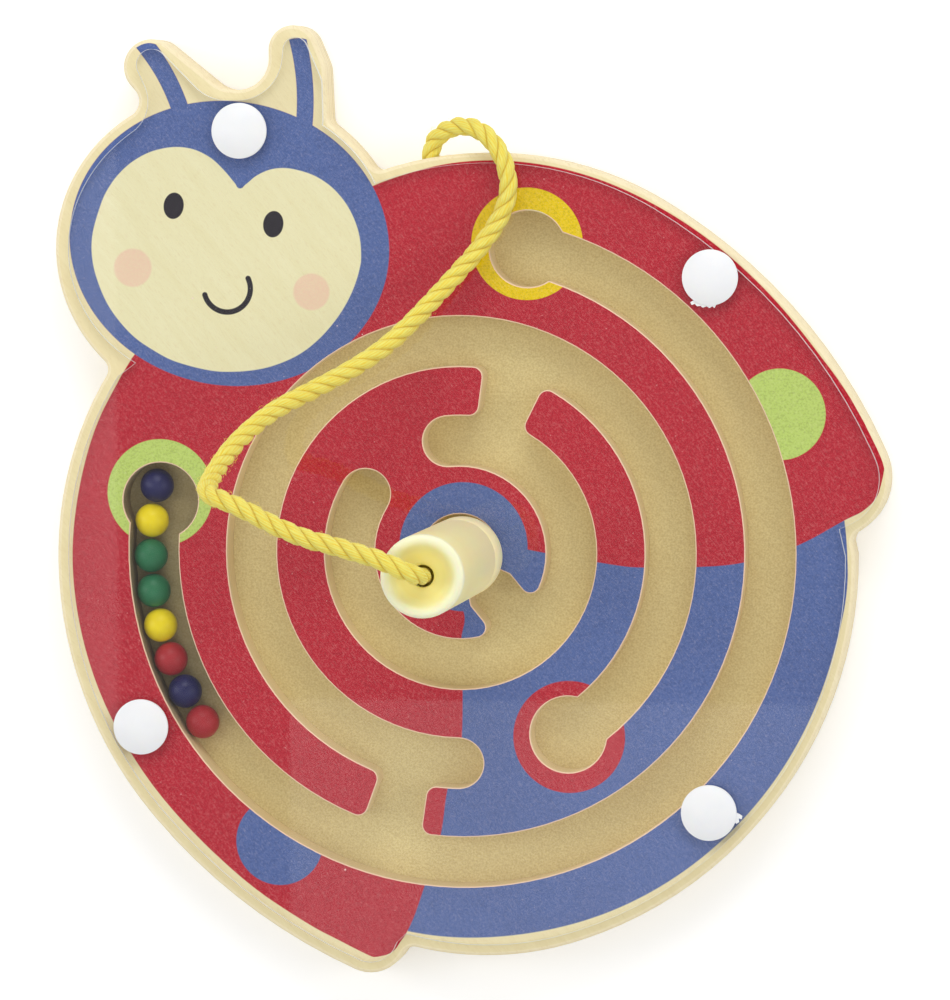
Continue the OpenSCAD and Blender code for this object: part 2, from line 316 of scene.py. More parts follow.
def oval(tree, place, centre, turn, half):
    return useGroup(tree, ovalMask, {
        "Place": place, "Centre": centre, "Turn": math.radians(turn),
        "Half Width": half[0], "Half Height": half[1]})[0]


def stroke(tree, place, centre, radius, facing, reach, half):
    return useGroup(tree, strokeMask, {
        "Place": place, "Centre": centre, "Radius": radius,
        "Facing": facing, "Reach": reach, "Half Width": half})[0]


def specks(tree, place, spacing, size):
    return useGroup(tree, dustSpecks, {"Place": place, "Spacing": spacing, "Size": size})[0]


# cord
cordFacts = {
    "diameter": 4.6,
    "strandRadial": 1.13,
    "strandAcross": 1.42,
    "strandOff": 1.16,
    "pitch": 13.2,
    "step": 0.6,
    "sides": 16,
    # each strand swells and thins a little: share, rate along it in 1/mm, shift from strand to strand
    "swells": [(0.045, 1.9, 2.1), (0.03, 4.3, 1.0)],
    # it is pinched in the wand's hole: share, start before the end and length of the ramp
    "pinch": (0.15, 7.5, 3.5),
    "uvLength": 10.0,  # mm of cord in one unit of uv
    "exit": (-7.6, 95.2, 8.5),
    "wandEnd": (0.9, -0.8, 8.5),
    "route": [
        (-7.6, 83, 8.5), (-7.6, 92, 8.5), (-7.6, 96.6, 8.7), (-6.2, 99.7, 9.8), (-2.9, 101.9, 12),
        (1.2, 102.6, 14.4), (5.2, 101.5, 16.3), (8.4, 98.8, 17.4), (10.8, 95, 17.8), (12, 91, 17.8),
        (12.2, 87, 17.7), (11.2, 83, 17.7), (9, 78.6, 18), (5, 73, 19), (0.4, 67.6, 20.4),
        (-4.8, 61.6, 23.2), (-10.4, 55.3, 27.2), (-16.6, 49.4, 31.8), (-23.8, 44.4, 37), (-31.4, 40.1, 42.8),
        (-38.6, 36, 49.2), (-43.8, 31.6, 55.6), (-47.4, 27.2, 62), (-49.4, 23.2, 68.6), (-50.2, 20.3, 75),
        (-49.9, 18.5, 80.8), (-47.9, 17.4, 85.2), (-44.2, 16.3, 87.8), (-39, 14.1, 88.8), (-32.6, 10.9, 89),
        (-26, 8.2, 89), (-20, 6.6, 89), (-14.4, 5.1, 89.6), (-9.8, 3.9, 90.5), (-5.8, 2.4, 91),
        (-2.5, 0.8, 90.2), (-0.1, -0.3, 88.1), (0.9, -0.8, 85.1), (0.9, -0.8, 81.1),
    ],
}
# fine hairs that have worked loose, every third one where the cord folds
fibreFacts = {
    "count": 420,
    "foldEvery": 3,
    "seed": 11,
    "thick": 0.035,
    "ends": (20, 12),  # one part in 20 of the cord at its start stays smooth, and one in 12 at its end
    "foldAt": (-38, 60),  # the fold is left of this x and above this z
    "lean": (1.6, 1.0),  # along the cord and round it
    "height": (0.2, 0.75),
    "sink": 0.35,
    "rings": 5,
    "arch": (2.4, 1.3),
    "corners": (0, 2.09, 4.19),  # a hair has three sides
}
knotFacts = {
    "middle": (0.9, -0.8, 76.6),
    "size": 1.09306,
    "depth": 1.1,
    "diameter": 3.0,
    "steps": 120,
    "open": 0.985,  # this share of the loop is laid, so that its ends stay apart
}


def smoothRoute(points, step, cuts=20):
    # a smooth line through the points, cut into even steps
    line = [Vector(p) for p in points]
    ends = [line[0] * 2 - line[1]] + line + [line[-1] * 2 - line[-2]]
    dense = []
    for i in range(len(line) - 1):
        a, b, c, d = ends[i:i + 4]
        for k in range(cuts):
            t = k / cuts
            bend = (2 * a - 5 * b + 4 * c - d) * t * t + (3 * b - a - 3 * c + d) * t ** 3
            dense.append(0.5 * (2 * b + (c - a) * t + bend))
    dense.append(line[-1])
    total = sum((q - p).length for p, q in zip(dense, dense[1:]))
    count = round(total / step)
    gap = total / count
    even, walked, target = [dense[0]], 0.0, gap
    for p, q in zip(dense, dense[1:]):
        piece = (q - p).length
        while walked + piece >= target and len(even) < count:
            even.append(p.lerp(q, (target - walked) / piece))
            target += gap
        walked += piece
    even.append(dense[-1])
    return even, total


def framesAlong(line):
    # each point with two directions square to the line
    frames, side = [], None
    for i, point in enumerate(line):
        heading = (line[min(i + 1, len(line) - 1)] - line[max(i - 1, 0)]).normalized()
        if side is None:
            side = heading.orthogonal().normalized()
        side = (side - heading * side.dot(heading)).normalized()
        frames.append((point, side, heading.cross(side)))
    return frames


def turned(right, up, angle):
    return right * math.cos(angle) + up * math.sin(angle), up * math.cos(angle) - right * math.sin(angle)


def closeTube(mesh, uvLayer, rings, smooth, uvAt):
    # walls between the rings and a face at each end
    sides = len(rings[0])
    for i in range(len(rings) - 1):
        for k in range(sides):
            n = (k + 1) % sides
            face = mesh.faces.new((rings[i][k], rings[i][n], rings[i + 1][n], rings[i + 1][k]))
            face.smooth = smooth
            for loop, u, v in zip(face.loops, (k, k + 1, k + 1, k), (i, i, i + 1, i + 1)):
                loop[uvLayer].uv = uvAt(u / sides, v)
    mesh.faces.new(reversed(rings[0]))
    mesh.faces.new(rings[-1])


def addFibres(mesh, uvLayer, frames, facts):
    dice = random.Random(facts["seed"])
    radius = cordFacts["diameter"] / 2
    first, last = (len(frames) // part for part in facts["ends"])
    usable = range(first, len(frames) - last)
    left, above = facts["foldAt"]
    folded = [i for i in usable if frames[i][0].x < left and frames[i][0].z > above]
    for number in range(facts["count"]):
        point, right, up = frames[dice.choice(folded if number % facts["foldEvery"] == 0 else usable)]
        outward, around = turned(right, up, dice.uniform(0, 2 * math.pi))
        along, across = facts["lean"]
        lean = right.cross(up) * dice.uniform(-along, along) + around * dice.uniform(-across, across)
        height = dice.uniform(*facts["height"])
        rings = []
        for k in range(facts["rings"]):
            t = k / (facts["rings"] - 1)
            rise = height * math.sin(t * facts["arch"][0]) * facts["arch"][1]
            middle = point + outward * (radius - facts["sink"] + rise) + lean * t
            rings.append([mesh.verts.new((middle + turned(outward, around, a)[0] * facts["thick"]) * mm)
                          for a in facts["corners"]])
        closeTube(mesh, uvLayer, rings, False, lambda u, i: (0.02, number / 10))


def pinchAt(left, pinch):
    share, start, ramp = pinch
    return 1 - share * min(1.0, max(0.0, (start - left) / ramp))


def twistStrands(name, centreline, facts, scale=1.0, pinch=(0.0, 1.0, 1.0), fibres=None):
    # three strands laid round the line, each a tube with a flattened section
    frames = framesAlong(centreline)
    mesh = bmesh.new()
    uvLayer = mesh.loops.layers.uv.new("lay")
    sides = facts["sides"]
    walked = [0.0]
    for p, q in zip(centreline, centreline[1:]):
        walked.append(walked[-1] + (q - p).length)
    for strand in range(3):
        rings = []
        for far, (point, right, up) in zip(walked, frames):
            size = scale * pinchAt(walked[-1] - far, pinch)
            swell = 1 + sum(share * math.sin(far * rate + strand * shift)
                            for share, rate, shift in facts["swells"])
            outward, across = turned(right, up, 2 * math.pi * (far / (facts["pitch"] * scale) + strand / 3))
            middle = point + outward * facts["strandOff"] * size
            angles = [2 * math.pi * k / sides for k in range(sides)]
            rings.append([mesh.verts.new(
                (middle + outward * math.cos(a) * facts["strandRadial"] * size * swell
                 + across * math.sin(a) * facts["strandAcross"] * size) * mm) for a in angles])
        closeTube(mesh, uvLayer, rings, True, lambda u, i: (u, walked[i] / facts["uvLength"]))
    if fibres:
        addFibres(mesh, uvLayer, frames, fibres)
    bmesh.ops.recalc_face_normals(mesh, faces=mesh.faces[:])
    return newPiece(name, mesh)


cottonLook = {
    # gap is the painted shade deep between the strands
    "gap": srgb(236, 192, 10),
    "low": srgb(252, 214, 34),
    "high": srgb(255, 252, 142),
    "warm": srgb(255, 234, 62),
    "warmShare": 0.4,
    "yarns": 13.0,
    "yarnTone": (0.28, 0.56),  # how strong the yarns are, and the tone between them
    "drift": 9.0,
    "fuzz": 2.2,
    "slant": 1.2,  # turns round the strand in 10 mm, which keeps the yarns nearly along the cord
    "ring": (2.6, 1.6),  # radius and length that wrap the noise round a strand
}


def cottonMaterial(look):
    material, tree, shader, _ = newMaterial("yellow_cotton_cord", {
        "Roughness": 0.85, "Sheen Weight": 0.2, "Sheen Roughness": 0.5})
    parts = split(tree, addNode(tree, "ShaderNodeUVMap", uv_map="lay").outputs[0])
    slant = plus(tree, parts["X"], times(tree, parts["Y"], look["slant"]))
    around = times(tree, slant, 2 * math.pi)
    radius, length = look["ring"]
    ringPlace = addNode(tree, "ShaderNodeCombineXYZ", {
        "X": times(tree, calc(tree, "COSINE", around), radius),
        "Y": times(tree, calc(tree, "SINE", around), radius),
        "Z": times(tree, parts["Y"], length)}).outputs[0]
    fuzz = noise(tree, ringPlace, 2.6, 4.0, 0.7)
    drift = noise(tree, ringPlace, 0.5, 1.0)
    phase = plus(tree, times(tree, around, look["yarns"]), times(tree, drift, look["drift"]))
    strong, middle = look["yarnTone"]
    yarn = plus(tree, times(tree, calc(tree, "COSINE", phase), strong), middle)
    yarn = plus(tree, yarn, times(tree, minus(tree, fuzz, 0.5), look["fuzz"]))
    # painted shade: deep between the strands the cord is darker
    inner = calc(tree, "COSINE", times(tree, parts["X"], 2 * math.pi))
    inner = minus(tree, times(tree, fuzz, 0.9), plus(tree, inner, 0.35))
    inner = calc(tree, "MULTIPLY", inner, 1.6, clamp=True)
    colour = mixColour(tree, calc(tree, "ADD", yarn, 0.0, clamp=True), look["low"], look["high"])
    tone = noise(tree, placeInMillimetres(tree), 0.12, 2.0)
    colour = tint(tree, colour, tone, look["warmShare"], look["warm"])
    colour = tint(tree, colour, inner, 0.8, look["gap"])
    dressShader(tree, shader, colour, yarn, 0.6, 0.0003)
    return material


def makeCord():
    line, total = smoothRoute(cordFacts["route"], cordFacts["step"])
    piece = twistStrands("twisted_cord", line, cordFacts, pinch=cordFacts["pinch"], fibres=fibreFacts)
    piece.data.materials.append(cottonMaterial(cottonLook))
    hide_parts("tether_cord")
    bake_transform(piece)
    print("cord laid,", round(total), "mm long")


def makeKnot(facts):
    # the stopper inside the wand: the same cord pulled into an overhand knot
    loop = []
    for i in range(facts["steps"]):
        t = 2 * math.pi * i / (facts["steps"] - 1) * facts["open"]
        across, along = math.sin(t) + 2 * math.sin(2 * t), math.cos(t) - 2 * math.cos(2 * t)
        place = Vector((across, along, -facts["depth"] * math.sin(3 * t)))
        loop.append(Vector(facts["middle"]) + facts["size"] * place)
    piece = twistStrands("stopper_knot", loop, cordFacts, scale=facts["diameter"] / cordFacts["diameter"])
    piece.data.materials.append(bpy.data.materials["yellow_cotton_cord"])
    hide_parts("cord_knot")
    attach(piece, "wand")


makeCord()
makeKnot(knotFacts)


# print on the maze board, in millimetres
printArt = {
    "red": srgb(191, 37, 54),
    "blue": srgb(88, 109, 166),
    "yellow": srgb(240, 206, 0),
    "green": srgb(192, 214, 110),
    "ink": srgb(46, 42, 48),
    "blush": srgb(241, 202, 176),
    "face": (srgb(234, 224, 174), srgb(245, 239, 199)),
    "rim": (srgb(232, 215, 165), srgb(246, 234, 191)),
    "woodPores": srgb(222, 202, 150),
    "paleInk": srgb(255, 236, 226),
    "shade": (0.6, 0.6, 0.6, 1),
    "dullInk": srgb(90, 60, 60),
    "crumbs": srgb(250, 226, 222),
    "span": 110.0,
    "blur": 0.18,
    # the red wings' edge round the maze centre: angle, radius
    "wingEdge": [
        (0, 104.6), (8, 104.6), (12.3, 104.4), (17.2, 103), (21.6, 101.4), (25, 100.3), (30, 98.8),
        (40, 97.3), (50, 96.5), (60, 96.1), (70, 95.9), (80, 95.3), (90, 94), (100, 91.6), (110, 89.5),
        (120, 89), (130, 89), (140, 90), (150, 92.8), (155, 93.2), (160, 93.9), (170, 94.5), (185, 95.2),
        (200, 95.1), (215, 94.8), (220, 94.8), (230, 95.2), (240, 96.6), (245, 97.4), (249.4, 98.4),
        (252.3, 99), (255.2, 99.9), (258, 100.8), (262, 101.2), (300, 101.4), (345, 104.2), (360, 104.6)],
    # the round blue body's edge
    "bodyEdge": [
        (0, 93.4), (5.2, 93.1), (20, 92.6), (90, 90), (180, 90), (250, 92), (262, 92.9), (264.6, 93.1),
        (268.5, 93.3), (279, 93.5), (295, 93.8), (320, 93.5), (345, 93.2), (355.6, 93.7), (360, 93.4)],
    "edgeReach": 120.0,
    "splitReach": 60.0,
    "faceReach": 40.0,
    "faceCentre": (-57.0, 70.0, 0.0),
    "faceEdge": [
        (0, 32.9), (10, 33.1), (20, 32.8), (30, 32), (40, 30.6), (50, 28.5), (60, 26), (70, 22.1), (76, 19),
        (79.6, 17.9), (83, 18.8), (90, 21.4), (100, 25.8), (110, 29.2), (120, 31.4), (130, 32.9), (140, 33.7),
        (150, 33.9), (160, 33.6), (170, 33.5), (180, 32.9), (190, 31.9), (200, 31), (210, 30), (220, 29.1),
        (230, 28.1), (240, 27.5), (250, 26.9), (260, 26.7), (270, 26.7), (280, 26.9), (290, 27.4), (300, 28),
        (310, 28.7), (320, 29.3), (330, 30), (340, 30.9), (350, 31.9), (360, 32.9)],
    # red wings end at these two lines, blue body shows between them
    "upperSplit": [
        (0, 2), (13, 1.4), (20, 0.2), (33, -2), (44, -3.2), (57, -3), (69, -1.7), (81, 2.2), (92.7, 8.5),
        (97.8, 11.3), (100.5, 14.4), (101.5, 17.5), (102.2, 21), (102.9, 28), (104.5, 50), (110, 50)],
    "lowerSplit": [
        (0, 0), (10, -0.6), (16, 1.1), (21, 0.3), (33, 0.6), (45, 0.4), (57, -3), (69, -4.9), (81, -8.7),
        (92, -12.9), (94.9, -14.8), (96.6, -16), (97.8, -17.8), (98.5, -20.9), (99, -30), (100, -50),
        (110, -50)],
    "discs": [
        ("yellow", (16.2, 74.4, 0), 13.5), ("green", (-73.4, 13.9, 0), 13.0),
        ("blue", (0.8, 1.4, 0), 15.6), ("red", (26.5, -44.3, 0), 13.55),
        ("green", (77.2, 33.8, 0), 10.95), ("blue", (-44.2, -70.6, 0), 10.7)],
    "head": ((-56.4, 74.3, 0), -9.5, (39.3, 34.3)),
    # each feeler: three points along it, half its width, and the circle that rounds its tip
    "feelers": [
        ((-79.0, 124.6), (-71.4, 114.1), (-68.0, 106.0), 2.15, (-76.3, 116.4), 6.3),
        ((-40.4, 126.6), (-37.9, 114.4), (-38.2, 100.5), 2.05, (-39.4, 117.6), 6.2)],
    "mouth": ((-62.3, 61.9), (-56.8, 57.75), (-51.7, 65.9), 0.66),
    "eyes": [(-69.9, 83.4, 0), (-45.5, 79.0, 0)],
    "eyeHalf": (2.47, 3.2),
    "eyeTurn": -8.0,
    "cheeks": [((-80.0, 68.4, 0), 4.6), ((-36.2, 62.7, 0), 4.4)],
}


def curveThrough(tree, value, points):
    # a float curve that goes through the points given in 0-1 both ways
    node = addNode(tree, "ShaderNodeFloatCurve", {"Value": value})
    curve = node.mapping.curves[0]
    node.mapping.use_clip = False
    curve.points[0].location = points[0]
    curve.points[1].location = points[-1]
    for point in points[1:-1]:
        curve.points.new(*point)
    for point in curve.points:
        point.handle_type = "AUTO_CLAMPED"
    node.mapping.update()
    return node.outputs[0]


def polarMask(tree, place, centre, reach, edge):
    # inside an edge that is given as angle and radius round the centre
    flat, far = flatAway(tree, place, centre)
    parts = split(tree, flat)
    turns = calc(tree, "DIVIDE", calc(tree, "ARCTAN2", parts["Y"], parts["X"]), 2 * math.pi)
    turns = calc(tree, "FRACT", plus(tree, turns, 1.0))
    radius = times(tree, curveThrough(tree, turns, [(a / 360, r / reach) for a, r in edge]), reach)
    return softEdge(tree, minus(tree, radius, far), printArt["blur"])


def strokeThrough(a, b, c):
    # circle through three points, and the way the stroke faces from its centre
    ax, ay, bx, by, cx, cy = *a, *b, *c
    aa, bb, cc = ax ** 2 + ay ** 2, bx ** 2 + by ** 2, cx ** 2 + cy ** 2
    d = 2 * (ax * (by - cy) + bx * (cy - ay) + cx * (ay - by))
    ux = (aa * (by - cy) + bb * (cy - ay) + cc * (ay - by)) / d
    uy = (aa * (cx - bx) + bb * (ax - cx) + cc * (bx - ax)) / d
    centre = Vector((ux, uy, 0))
    first, last = (Vector((*a, 0)) - centre).normalized(), (Vector((*c, 0)) - centre).normalized()
    facing = (first + last).normalized()
    return centre, (Vector((*a, 0)) - centre).length, facing, facing.dot(first)


def belowLine(tree, along, across, points, span):
    # 1 where across is under the line given by points, in mm; the curve holds -reach to reach as 0 to 1
    reach = printArt["splitReach"]
    scaled = [(a / span, (b + reach) / (2 * reach)) for a, b in points]
    line = curveThrough(tree, calc(tree, "DIVIDE", along, span), scaled)
    line = minus(tree, times(tree, line, 2 * reach), reach)
    return softEdge(tree, minus(tree, line, across), printArt["blur"])


def feelerMask(tree, place, height, feeler):
    a, b, c, half, tip, tipRadius = feeler
    strip = stroke(tree, place, *strokeThrough(a, b, c), half)
    cap = disc(tree, place, (*tip, 0), tipRadius)
    stem = softEdge(tree, minus(tree, tip[1], height), printArt["blur"])
    return times(tree, strip, larger(tree, cap, stem))


def printedInk(tree, place, parts, grain, art):
    # the wings, the body, the discs and the head, and where there is ink at all
    underUpper = belowLine(tree, parts["X"], parts["Y"], art["upperSplit"], art["span"])
    depth = times(tree, parts["Y"], -1.0)
    rightOfLower = minus(tree, 1.0, belowLine(tree, depth, parts["X"], art["lowerSplit"], art["span"]))
    bluePart = times(tree, underUpper, rightOfLower)
    wings = polarMask(tree, place, (0, 0, 0), art["edgeReach"], art["wingEdge"])
    wings = times(tree, wings, minus(tree, 1.0, bluePart))
    body = polarMask(tree, place, (0, 0, 0), art["edgeReach"], art["bodyEdge"])
    inked = larger(tree, wings, body)
    colour = mixColour(tree, bluePart, art["red"], art["blue"])
    for name, centre, radius in art["discs"]:
        colour = mixColour(tree, disc(tree, place, centre, radius), colour, art[name])
    head = oval(tree, place, *art["head"])
    for feeler in art["feelers"]:
        head = larger(tree, head, feelerMask(tree, place, parts["Y"], feeler))
    colour = mixColour(tree, head, colour, art["blue"])
    inked = larger(tree, inked, head)

    # the veneer's pores and fibres show through the ink as short pale dashes
    pale = mixColour(tree, 0.3, colour, art["paleInk"])
    colour = tint(tree, colour, grain["Pores"], 0.27, pale)
    colour = tint(tree, colour, remap(tree, grain["Fibre"], (0.56, 0.72)), 0.2, pale)
    shade = remap(tree, grain["Fibre"], (0.3, 0.52), (0.5, 0.0))
    colour = mixColour(tree, shade, colour, art["shade"], blend="MULTIPLY")
    dull = times(tree, minus(tree, grain["Cloud"], 0.42, clamp=True), 0.5)
    return mixColour(tree, dull, colour, mixColour(tree, 0.3, colour, art["dullInk"])), inked


def drawnLines(tree, place, art):
    # the eyes, and the mouth with its round ends
    drawn = 0.0
    for centre in art["eyes"]:
        drawn = larger(tree, oval(tree, place, centre, art["eyeTurn"], art["eyeHalf"]), drawn)
    a, b, c, half = art["mouth"]
    middle, radius, facing, reach = strokeThrough(a, b, c)
    # the mouth is more than half a circle, so its facing is checked against its middle point
    if facing.dot(Vector((*b, 0)) - middle) < 0:
        facing, reach = -facing, -reach
    smile = stroke(tree, place, middle, radius, facing, reach, half)
    drawn = larger(tree, smile, drawn)
    for x, y in (a, c):
        drawn = larger(tree, disc(tree, place, (x, y, 0), half), drawn)
    return drawn


def printMaterial(art):
    material, tree, shader, _ = newMaterial("printed_veneer", {"Roughness": 0.6, "Specular IOR Level": 0.06})
    place = placeInMillimetres(tree)
    parts = split(tree, place)
    grain = useGroup(tree, veneerGrain, {"Place": place})
    poreShade = times(tree, grain["Pores"], 0.3)
    rimWood = mixColour(tree, grain["Streak"], *art["rim"])
    rimWood = mixColour(tree, poreShade, rimWood, art["woodPores"])
    faceWood = mixColour(tree, grain["Streak"], *art["face"])
    faceWood = mixColour(tree, poreShade, faceWood, art["woodPores"])
    ink, inked = printedInk(tree, place, parts, grain, art)
    colour = mixColour(tree, inked, rimWood, ink)

    face = polarMask(tree, place, art["faceCentre"], art["faceReach"], art["faceEdge"])
    colour = mixColour(tree, face, colour, faceWood)
    for centre, radius in art["cheeks"]:
        cheek = disc(tree, place, centre, radius, 0.5)
        cheek = times(tree, cheek, plus(tree, times(tree, grain["Fibre"], 0.5), 0.5))
        colour = mixColour(tree, cheek, colour, art["blush"])
    colour = mixColour(tree, drawnLines(tree, place, art), colour, art["ink"])
    grit = times(tree, specks(tree, place, 1.7, 0.1), 0.5)
    dustAndShade = larger(tree, specks(tree, place, 7.0, 0.17), grit)
    colour = tint(tree, colour, dustAndShade, 0.75, art["crumbs"])
    dressShader(tree, shader, colour, grain["Pores"], 0.08, 0.0001)
    return material


# plywood
boardFacts = {
    "mazeTop": 13.0,
    "floorTop": 4.0,
    "coverTop": 15.0,
    "outerFrom": 84.6,  # further out than this, an edge is the board's own and not a channel's
    "rivets": [(-53.5, 101.5), (60.5, 66.5), (-78, -43), (60.5, -62)],
    "rivetReach": 4.0,
    "roundOver": 0.9,
    "channelEdge": 0.28,
    "coverEdge": 0.2,
    "airFilm": 0.03,
    "weld": 0.002,
    "flatAngle": 0.3,
    "sharpAngle": 35,
}
plyFacts = {
    # height of each glue line in mm, and how dark it is
    "glueLines": [(1.35, 0.45), (2.7, 0.45), (4.0, 0.9), (6.6, 0.4), (9.2, 0.6)],
    "lineHalf": 0.13,
    "pale": srgb(252, 240, 204),
    "deep": srgb(241, 224, 180),
    "pores": srgb(222, 196, 148),
    "glue": srgb(176, 140, 98),
    "sawn": srgb(226, 202, 154),  # the walls inside the maze
    "lip": srgb(250, 214, 184),  # their bevelled top edge
    "lipHeight": 0.32,
    "inside": 84.0,
}
floorLook = {
    "deep": srgb(222, 203, 144),
    "pale": srgb(238, 223, 165),
    "fleck": srgb(196, 171, 110),
    "crumbs": srgb(246, 234, 206),
    "dustAndShade": srgb(92, 72, 52),  # painted shade round and under the resting beads
    "beadShadeAt": ((-76, -11, 0), 32.0, 14.0),  # centre, radius and blur
    "beadShadeRing": ((0, 0, 0), 64.0, 6.0),  # it stays outside this ring
}


def paintedBeadShade(tree, place):
    # painted shade in the outer channel where the beads rest
    near = disc(tree, place, *floorLook["beadShadeAt"])
    return times(tree, near, minus(tree, 1.0, disc(tree, place, *floorLook["beadShadeRing"])))


def plyMaterial(facts):
    material, tree, shader, _ = newMaterial("birch_ply_edge", {"Roughness": 0.6, "Specular IOR Level": 0.3})
    place = placeInMillimetres(tree)
    height = split(tree, place)["Z"]
    grain = useGroup(tree, veneerGrain, {"Place": place})
    colour = mixColour(tree, grain["Streak"], facts["deep"], facts["pale"])
    colour = tint(tree, colour, grain["Pores"], 0.35, facts["pores"])
    glue = 0.0
    for level, dark in facts["glueLines"]:
        near = calc(tree, "DIVIDE", calc(tree, "ABSOLUTE", minus(tree, height, level)), facts["lineHalf"])
        near = times(tree, minus(tree, 1.6, near, clamp=True), dark)
        glue = larger(tree, near, glue)
    colour = mixColour(tree, glue, colour, facts["glue"])
    inside = disc(tree, place, (0, 0, 0), facts["inside"])
    inside = times(tree, inside, calc(tree, "GREATER_THAN", height, boardFacts["floorTop"] + 0.1))
    colour = tint(tree, colour, inside, 0.75, facts["sawn"])
    # painted shade on the inner walls by the resting beads
    beadWallShade = times(tree, paintedBeadShade(tree, place), inside)
    colour = tint(tree, colour, beadWallShade, 0.75, floorLook["dustAndShade"])
    lip = calc(tree, "GREATER_THAN", height, boardFacts["mazeTop"] - facts["lipHeight"])
    colour = tint(tree, colour, times(tree, inside, lip), 0.9, facts["lip"])
    dressShader(tree, shader, colour, grain["Pores"], 0.15, 0.0002)
    return material


def floorVeneer(look):
    material, tree, shader, _ = newMaterial("channel_floor_veneer", {
        "Roughness": 0.6, "Specular IOR Level": 0.3})
    place = placeInMillimetres(tree)
    grain = useGroup(tree, veneerGrain, {"Place": place, "Turn": 0.6})
    colour = mixColour(tree, grain["Streak"], look["deep"], look["pale"])
    colour = mixColour(tree, remap(tree, grain["Fibre"], (0.3, 0.65), (0.45, 1.0)), look["fleck"], colour)
    colour = tint(tree, colour, grain["Pores"], 0.3, look["fleck"])
    # painted shade where the beads rest
    colour = tint(tree, colour, paintedBeadShade(tree, place), 0.4, look["dustAndShade"])
    colour = tint(tree, colour, specks(tree, place, 9.0, 0.2), 0.6, look["crumbs"])
    dressShader(tree, shader, colour, grain["Fibre"], 0.1, 0.0001)
    return material


# boards and cover
def mergedCopy(node):
    # the node's loose triangles as one clean solid with flat faces
    mesh = bmesh.new()
    mesh.from_mesh(cadNodes[node].data)
    bmesh.ops.remove_doubles(mesh, verts=mesh.verts[:], dist=boardFacts["weld"] * mm)
    bmesh.ops.dissolve_limit(mesh, angle_limit=math.radians(boardFacts["flatAngle"]),
                             verts=mesh.verts[:], edges=mesh.edges[:])
    return mesh


def rimEdges(mesh, height, outer):
    # edges between a flat face and a wall at one height: outside the maze, in it, or all for None
    found = []
    for edge in mesh.edges:
        if len(edge.link_faces) != 2 or any(abs(v.co.z - height * mm) > 0.02 * mm for v in edge.verts):
            continue
        wall, flat = sorted(abs(f.normal.z) for f in edge.link_faces)
        if wall > 0.2 or flat < 0.9:
            continue
        middle = (edge.verts[0].co + edge.verts[1].co) / (2 * mm)
        byRivet = any(math.hypot(middle.x - x, middle.y - y) < boardFacts["rivetReach"]
                      for x, y in boardFacts["rivets"])
        outside = math.hypot(middle.x, middle.y) > boardFacts["outerFrom"] and not byRivet
        if outer is None or outer == outside:
            found.append(edge)
    return found


def bevelEdges(mesh, edges, width, segments, clamp=False):
    bmesh.ops.bevel(mesh, geom=edges, offset=width * mm, offset_type="OFFSET", segments=segments, profile=0.5,
                    affect="EDGES", clamp_overlap=clamp, material=-1)


def finishPiece(mesh, name, materials, slotOf, node):
    mesh.normal_update()
    for face in mesh.faces:
        face.smooth = True
        face.material_index = slotOf(face)
    piece = newPiece(name, mesh)
    piece.data.set_sharp_from_angle(angle=math.radians(boardFacts["sharpAngle"]))
    for material in materials:
        piece.data.materials.append(material)
    steady = piece.modifiers.new("steady_normals", "WEIGHTED_NORMAL")
    steady.keep_sharp = True
    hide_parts(node)
    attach(piece, "board")
    return piece


acrylicLook = {
    "clear": (0.97, 0.975, 0.975, 1),
    "index": 1.34,
    "polish": (0.012, 0.03),
    "edge": ((0.86, 0.89, 0.9, 1), (1, 1, 1, 1)),
    "edgeAlpha": 0.7,
}


def acrylicMaterial(look):
    material, tree, shader, output = newMaterial("clear_acrylic_sheet", {
        "Base Color": (1, 1, 1, 1), "Roughness": 0.02, "IOR": look["index"], "Transmission Weight": 1.0})
    # light reaches the print straight through the sheet, and the camera sees its gloss
    path = addNode(tree, "ShaderNodeLightPath").outputs
    straight = larger(tree, path["Is Shadow Ray"], path["Is Diffuse Ray"])
    clear = addNode(tree, "ShaderNodeBsdfTransparent", {"Color": look["clear"]})
    mix = addNode(tree, "ShaderNodeMixShader", {0: straight, 1: shader.outputs[0], 2: clear.outputs[0]})
    tree.links.new(mix.outputs[0], output.inputs["Surface"])
    smear = noise(tree, placeInMillimetres(tree), 0.05, 5.0)
    tree.links.new(remap(tree, smear, (0.3, 0.8), look["polish"]), shader.inputs["Roughness"])
    return material


def acrylicEdgeMaterial(look):
    material, tree, shader, _ = newMaterial("sawn_acrylic_edge", {
        "Roughness": 0.35, "Alpha": look["edgeAlpha"]})
    grit = noise(tree, placeInMillimetres(tree), 1.8, 2.0)
    tree.links.new(mixColour(tree, grit, *look["edge"]), shader.inputs["Base Color"])
    return material


def upperFace(height):
    # the second material for the board's flat top, the first for the rest
    level = (height - 0.02) * mm
    return lambda face: int(face.normal.z > 0.99 and face.calc_center_median().z > level)


